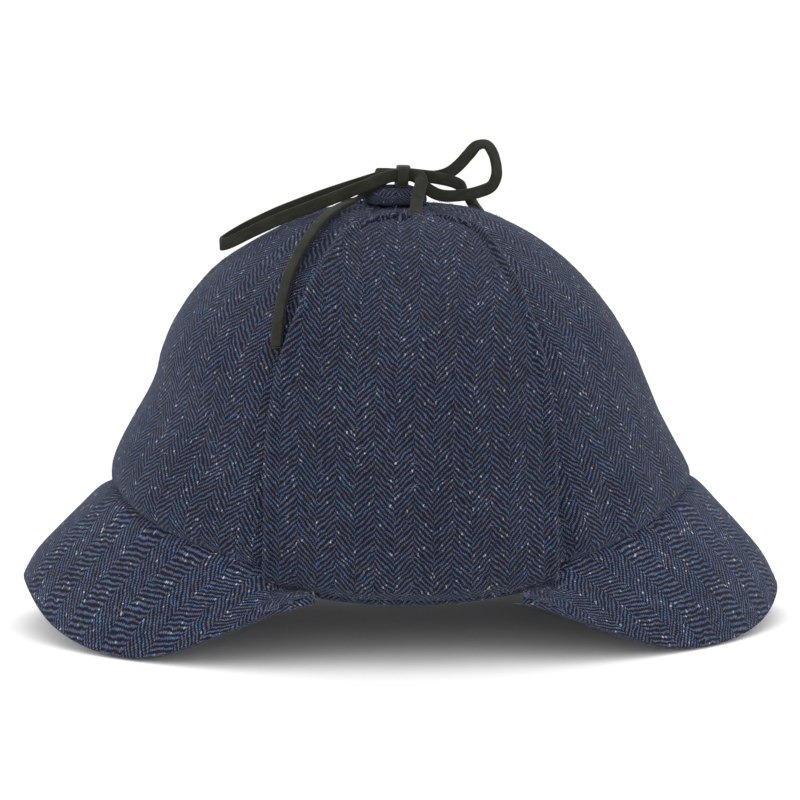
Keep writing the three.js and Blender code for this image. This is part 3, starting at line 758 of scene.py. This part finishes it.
def lace_frames(route):
    """Closely spaced places along a lace's route, each with the directions of its width and thickness."""
    points = [Vector(run.at) for run in route]
    widths = [Vector(run.width).normalized() for run in route]
    count = (len(route) - 1) * LACE_STEPS
    centres = [smooth_path(points, k / LACE_STEPS) for k in range(count + 1)]
    frames = []
    for k, centre in enumerate(centres):
        tangent = (centres[min(k + 1, count)] - centres[max(k - 1, 0)]).normalized()
        width = smooth_path(widths, k / LACE_STEPS)
        width = (width - tangent * width.dot(tangent)).normalized()
        frames.append((centre, width, tangent.cross(width)))
    return frames


def rounded(angle, half_wide, half_thick, squareness):
    """A point of a soft-cornered strap's section."""
    c, s = math.cos(angle), math.sin(angle)
    return (half_wide * math.copysign(abs(c) ** squareness, c), half_thick * math.copysign(abs(s) ** squareness, s))


def make_lace(name, route, length, stands_for):
    sizes = bpy.context.scene.hat_sizes
    frames = lace_frames(route)

    def point_at(i, j):
        centre, width, thick = frames[j]
        wide = sizes.lace_width / 2 * (1 + 0.05 * noise.noise(centre / 0.009))
        a, b = rounded(-2 * math.pi * i / LACE_SIDES, wide, sizes.lace_thick / 2, 0.42)
        point = centre + width * a + thick * b
        return point + thick * rumple(point, 0.0025, 0.00012)

    bm, grid = lay_grid(LACE_SIDES, len(frames) - 1, point_at)
    bmesh.ops.remove_doubles(bm, verts=bm.verts[:], dist=0.00001)
    ends = [edge for edge in bm.edges if edge.is_boundary]
    bmesh.ops.holes_fill(bm, edges=ends, sides=0)
    bmesh.ops.recalc_face_normals(bm, faces=bm.faces[:])
    piece = finish_piece(bm, name, suede(), stands_for)
    return piece


# ------------------------------------------------------------------ operators

class HAT_OT_camera(bpy.types.Operator):
    """Set the camera level with the hat's near side, a little above it"""

    bl_idname = "hat.camera"
    bl_label = "Camera"

    def execute(self, context):
        data = bpy.data.cameras.new("camera")
        data.lens, data.sensor_width = 128.6, 36
        camera = bpy.data.objects.new("camera", data)
        camera.location = (-0.0865, -1.0831, 0.2578)
        target = Vector((-0.00125, 0, 0.08576))
        camera.rotation_euler = (target - camera.location).to_track_quat("-Z", "Y").to_euler()
        data.clip_end = 20
        context.scene.collection.objects.link(camera)
        context.scene.camera = camera
        return {"FINISHED"}


class HAT_OT_laces(bpy.types.Operator):
    """Make the two suede laces tied in a bow over the crown, and the turn of lace that holds it"""

    bl_idname = "hat.laces"
    bl_label = "Laces"

    def execute(self, context):
        sizes = context.scene.hat_sizes
        steps, sides = 64, 16
        half_deep = (KNOT_DEEP - sizes.lace_thick) / 2
        half_high = (KNOT_HIGH - sizes.lace_thick) / 2

        def loop_at(share):
            y, z = rounded(2 * math.pi * share, half_deep, half_high, 0.55)
            return Vector((0, y, z))

        def point_at(i, j):
            share = j / steps
            tangent = (loop_at(share + 0.004) - loop_at(share - 0.004)).normalized()
            out = tangent.cross(Vector((-1, 0, 0)))
            pinch = 1 - 0.12 * math.cos(4 * math.pi * share)
            a, b = rounded(2 * math.pi * i / sides, KNOT_LONG / 2 * pinch, sizes.lace_thick / 2, 0.6)
            lean = Vector((0.0004 * math.sin(2 * math.pi * share), 0, 0))
            point = KNOT_AT + loop_at(share) + out * b + Vector((a, 0, 0)) + lean
            return point + out * rumple(point, 0.003, 0.00025)

        bm, grid = lay_grid(sides, steps, point_at)
        bmesh.ops.remove_doubles(bm, verts=bm.verts[:], dist=0.00001)
        bmesh.ops.recalc_face_normals(bm, faces=bm.faces[:])
        knot = finish_piece(bm, "suede_knot", suede(), ["knot"], rounding=1)
        make_lace("right_suede_lace", RIGHT_LACE, sizes.right_lace, ["right_lace"])
        make_lace("left_suede_lace", LEFT_LACE, sizes.left_lace, ["left_lace"])
        return {"FINISHED"}


class HAT_OT_crown(bpy.types.Operator):
    """Make the six gores of the crown, turned in at the seams between them"""

    bl_idname = "hat.crown"
    bl_label = "Crown"

    def execute(self, context):
        wall = context.scene.hat_sizes.crown_wall
        columns, rows = 40, 76
        width = 2 * math.pi / GORE_COUNT
        for index in range(GORE_COUNT):
            start = index * width

            def point_at(i, j):
                row = GORE_TOP * max(j - len(HEM), 0) / (rows - len(HEM))
                up, along, across = crown_lengths(start + width / 2, row)
                lap = SEAM_LAP / min(along, across)
                share = crowded(i / columns)
                turn = start - lap + (width + 2 * lap) * share
                edge = abs(2 * share - 1)
                point = crown_surface(turn, row)
                if j < len(HEM):
                    inward = Vector((-math.cos(turn) / along, -math.sin(turn) / across, 0)).normalized()
                    return point + inward * HEM[j].inward + Vector((0, 0, -HEM[j].down))
                dip = -0.0013 * edge ** 14 - 0.0007 * edge ** 5
                soft = rumple(point, 0.034, 0.0016) + rumple(point, 0.011, 0.0004) - 0.0005
                return off_crown(turn, row, dip + soft + fold_at(turn, row))

            bm, grid = lay_grid(columns, rows, point_at)
            thicken(bm, wall)
            finish_piece(bm, f"crown_gore_{index + 1}", tweed("crown"), [f"crown_panel_{index + 1}"], 1)
        return {"FINISHED"}


class HAT_OT_peaks(bpy.types.Operator):
    """Make the stiffened peaks at the front and the back"""

    bl_idname = "hat.peaks"
    bl_label = "Peaks"

    def execute(self, context):
        wall = context.scene.hat_sizes.peak_wall
        columns, rows = 130, 24
        for side, height in ((1, "front"), (-1, "back")):

            def point_at(i, j):
                round_share = 2 * crowded(i / columns) - 1
                out = crowded(j / rows) * 0.3 + 0.7 * j / rows
                point = peak_surface(side, height, round_share, out)
                point.z += rumple(point, 0.03, 0.0011) * math.sin(math.pi * out)
                return point

            bm, grid = lay_grid(columns, rows, point_at, wall / 2)
            flatten_peak(bm, grid)
            thicken(bm, wall)
            finish_piece(bm, f"{height}_peak_cloth", tweed("peak"), [f"{height}_peak"], 1)
        return {"FINISHED"}


def flatten_peak(bm, grid):
    """Writes a peak's UV map as the cloth was cut: flat, with the weave's columns running fore and aft."""
    middle = len(grid[0]) // 2
    opening = 0.8  # a curved band laid flat turns through less than it does on the hat
    spots, reach = {}, 0
    for j, line in enumerate(grid):
        reach += (line[middle].co - grid[max(j - 1, 0)][middle].co).length
        spots[line[middle]] = (0, reach)
        for half, direction in ((line[middle:], 1), (line[middle::-1], -1)):
            u, v = 0, reach
            for before, after in zip(half, half[1:]):
                step = after.co - before.co
                heading = math.atan2(abs(step.x), abs(step.y)) * opening
                u += direction * step.length * math.cos(heading)
                v -= step.length * math.sin(heading)
                spots[after] = (u, v)
    write_uv(bm, spots.get)


class HAT_OT_ear_flaps(bpy.types.Operator):
    """Make the two ear flaps, folded up under the rim and laid over the sides of the crown"""

    bl_idname = "hat.ear_flaps"
    bl_label = "Ear flaps"

    def execute(self, context):
        wall = context.scene.hat_sizes.flap_wall
        columns, rows = 64, 90
        steps = len(FLAP_FOLD) + len(FLAP_ROWS)
        shares = [2 * crowded(i / columns) - 1 for i in range(columns + 1)]
        lines = [[flap_middle(share, step) for step in range(steps)] for share in shares]

        for name, node, turn in (("right", "right_ear_flap", 0), ("left", "left_ear_flap", math.pi)):

            def point_at(i, j):
                return smooth_path(lines[i], (steps - 1) * j / rows)

            bm, grid = lay_grid(columns, rows, point_at, wall / 2)
            puff_flap(bm, grid, turn)
            thicken(bm, wall)
            bmesh.ops.rotate(bm, verts=bm.verts[:], cent=(0, 0, 0),
                             matrix=Matrix.Rotation(turn, 3, "Z"))
            piece = finish_piece(bm, f"{name}_ear_flap_cloth", tweed("flap"), [node], 1)
        return {"FINISHED"}


def puff_flap(bm, grid, seed):
    """Raises the turned edges of a flap, sinks the line beside them, and rumples the cloth between."""
    bm.normal_update()
    offset = Vector((seed, 0, 0))
    moves = []
    for line in grid:
        lengths = [0]
        for before, after in zip(line, line[1:]):
            lengths.append(lengths[-1] + (after.co - before.co).length)
        for vert, length in zip(line, lengths):
            inset = min(length, lengths[-1] - length)
            roll = 0.0008 * math.exp(-((inset - 0.0019) / 0.0015) ** 2)
            groove = 0.0007 * math.exp(-((inset - 0.0050) / 0.0011) ** 2)
            soft = rumple(vert.co + offset, 0.026, 0.0010) + rumple(vert.co + offset, 0.008, 0.0003) + 0.0004
            moves.append((vert, vert.normal * (roll - groove + soft)))
    for vert, move in moves:
        vert.co += move


class HAT_OT_button(bpy.types.Operator):
    """Make the covered button at the top of the crown"""

    bl_idname = "hat.button"
    bl_label = "Covered button"

    def execute(self, context):
        bm = bmesh.new()
        steps, turns = 14, 64
        outline = []
        for k in range(steps + 1):
            angle = math.pi / 2 * (1 - k / steps)
            out, up = rounded(angle, BUTTON_RADIUS, BUTTON_HEIGHT - BUTTON_RIM / 2, 0.8)
            outline.append(Vector((out, 0, BUTTON_RIM / 2 + up)))
        outline += [Vector((BUTTON_RADIUS - 0.0003, 0, 0.0005)), Vector((BUTTON_RADIUS - 0.0011, 0, 0)), Vector((0, 0, 0))]
        verts = [bm.verts.new(point) for point in outline]
        edges = [bm.edges.new(pair) for pair in zip(verts, verts[1:])]
        bmesh.ops.spin(bm, geom=verts + edges, cent=(0, 0, 0), axis=(0, 0, 1), angle=2 * math.pi,
                       steps=turns, use_merge=True)
        bmesh.ops.remove_doubles(bm, verts=bm.verts[:], dist=0.00001)
        bmesh.ops.recalc_face_normals(bm, faces=bm.faces[:])

        def spread(vert):
            flat = Vector((vert.co.x, vert.co.y))
            return flat * (1 + 2.2 * max(0, 0.5 - vert.co.z / BUTTON_HEIGHT))

        write_uv(bm, spread)
        for vert in bm.verts:
            around = math.atan2(vert.co.y, vert.co.x)
            low = 1 - vert.co.z / BUTTON_HEIGHT
            vert.co += Vector((vert.co.x, vert.co.y, 0)) * 0.02 * low * math.cos(14 * around)
            vert.co += Vector((0, 0, 1)) * rumple(vert.co, 0.005, 0.0004) * (1 - low)
        bmesh.ops.translate(bm, verts=bm.verts[:], vec=BUTTON_AT)
        finish_piece(bm, "covered_button", tweed("button"), ["crown_button"], 1)
        return {"FINISHED"}


class HAT_OT_wool_fibres(bpy.types.Operator):
    """Make the loose wool fibres that stand off the milled cloth"""

    bl_idname = "hat.wool_fibres"
    bl_label = "Wool fibres"

    def execute(self, context):
        draw = random.Random(7)
        curve = bpy.data.curves.new("wool_fibres", "CURVE")
        curve.dimensions = "3D"
        curve.bevel_depth, curve.bevel_resolution, curve.resolution_u = 0.00004, 0, 2
        cloth = [item for item in bpy.data.objects if item.name.startswith("crown_gore") or item.name.endswith("_cloth")]
        for piece in sorted(cloth, key=lambda item: item.name):
            faces = piece.data.polygons
            for _ in range(FIBRES_ON_A_PIECE):
                face = faces[draw.randrange(len(faces))]
                normal = face.normal
                along = normal.orthogonal().normalized()
                along.rotate(Quaternion(normal, draw.uniform(0, 2 * math.pi)))
                across = normal.cross(along)
                reach, curl = draw.uniform(0.0008, 0.0028), draw.uniform(-0.9, 0.9)
                spline = curve.splines.new("BEZIER")
                spline.bezier_points.add(2)
                for point, share in zip(spline.bezier_points, (0, 0.5, 1)):
                    stand = 0.00055 * math.sin(math.pi * min(share + 0.15, 0.8)) - (0.0002 if share == 0 else 0)
                    point.co = face.center + along * reach * share + across * reach * curl * share ** 2 + normal * stand
                    point.handle_left_type = point.handle_right_type = "AUTO"
        wool = bpy.data.objects.new("wool_fibres_curve", curve)
        context.scene.collection.objects.link(wool)
        context.view_layer.update()
        mesh = bpy.data.meshes.new_from_object(wool.evaluated_get(context.evaluated_depsgraph_get()))
        bpy.data.objects.remove(wool)
        mesh.materials.clear()
        mesh.materials.append(loose_wool())
        piece = bpy.data.objects.new("wool_fibres", mesh)
        context.scene.collection.objects.link(piece)
        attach(piece, "root")
        return {"FINISHED"}


class HAT_OT_stage(bpy.types.Operator):
    """Make the pale floor, the soft studio light and the even light all round"""

    bl_idname = "hat.stage"
    bl_label = "Stage"

    def execute(self, context):
        bm = bmesh.new()
        bmesh.ops.create_grid(bm, x_segments=1, y_segments=1, size=6)
        mesh = bpy.data.meshes.new("floor")
        bm.to_mesh(mesh)
        bm.free()
        material = new_material("matt_studio_paper")
        shader = add(material.node_tree, "ShaderNodeBsdfPrincipled",
                     {"Base Color": (*context.scene.hat_colours.floor, 1.0), "Roughness": 1.0, "Specular IOR Level": 0.0})
        add(material.node_tree, "ShaderNodeOutputMaterial", {"Surface": shader.outputs[0]})
        mesh.materials.append(material)
        floor = bpy.data.objects.new("floor", mesh)
        floor.location.z = -0.0002
        context.scene.collection.objects.link(floor)

        world = bpy.data.worlds.new("studio")
        world.use_nodes = True
        world.node_tree.nodes["Background"].inputs["Color"].default_value = (1, 1, 1, 1)
        world.node_tree.nodes["Background"].inputs["Strength"].default_value = 1.16
        context.scene.world = world
        context.scene.view_settings.view_transform = "Standard"

        for name, place, size, power in (
            ("overhead_softbox", (-0.1, -0.2, 1.3), 1.1, 4.0),
            ("left_softbox", (-1.4, -0.7, 0.55), 0.9, 7.0),
            ("right_softbox", (1.4, -0.7, 0.55), 0.9, 6.0),
            ("low_front_softbox", (0.0, -1.7, 0.3), 0.9, 2.5),
        ):
            data = bpy.data.lights.new(name, "AREA")
            data.shape, data.size, data.energy = "SQUARE", size, power
            light = bpy.data.objects.new(name, data)
            light.location = place
            light.rotation_euler = (Vector((0, 0, 0.08)) - light.location).to_track_quat("-Z", "Y").to_euler()
            context.scene.collection.objects.link(light)
        return {"FINISHED"}


class HAT_PT_pieces(bpy.types.Panel):
    """Lists the hat's pieces, sizes and colours in the sidebar"""

    bl_label = "Deerstalker hat"
    bl_idname = "HAT_PT_pieces"
    bl_space_type = "VIEW_3D"
    bl_region_type = "UI"
    bl_category = "Hat"

    def draw(self, context):
        for operator in OPERATORS:
            self.layout.operator(operator.bl_idname)
        for group in (context.scene.hat_sizes, context.scene.hat_colours):
            for key in group.__annotations__:
                self.layout.prop(group, key)


OPERATORS = [HAT_OT_camera, HAT_OT_laces, HAT_OT_crown, HAT_OT_peaks, HAT_OT_ear_flaps, HAT_OT_button,
             HAT_OT_wool_fibres, HAT_OT_stage]
CLASSES = [HatSizes, HatColours, *OPERATORS, HAT_PT_pieces]


def register():
    for item in CLASSES:
        bpy.utils.register_class(item)
    bpy.types.Scene.hat_sizes = bpy.props.PointerProperty(type=HatSizes)
    bpy.types.Scene.hat_colours = bpy.props.PointerProperty(type=HatColours)


def unregister():
    del bpy.types.Scene.hat_colours
    del bpy.types.Scene.hat_sizes
    for item in reversed(CLASSES):
        bpy.utils.unregister_class(item)


def main():
    register()
    bpy.ops.hat.camera()
    bpy.ops.hat.laces()
    bpy.ops.hat.crown()
    bpy.ops.hat.peaks()
    bpy.ops.hat.ear_flaps()
    bpy.ops.hat.button()
    bpy.ops.hat.wool_fibres()
    bpy.ops.hat.stage()


if __name__ == "__main__":
    main()
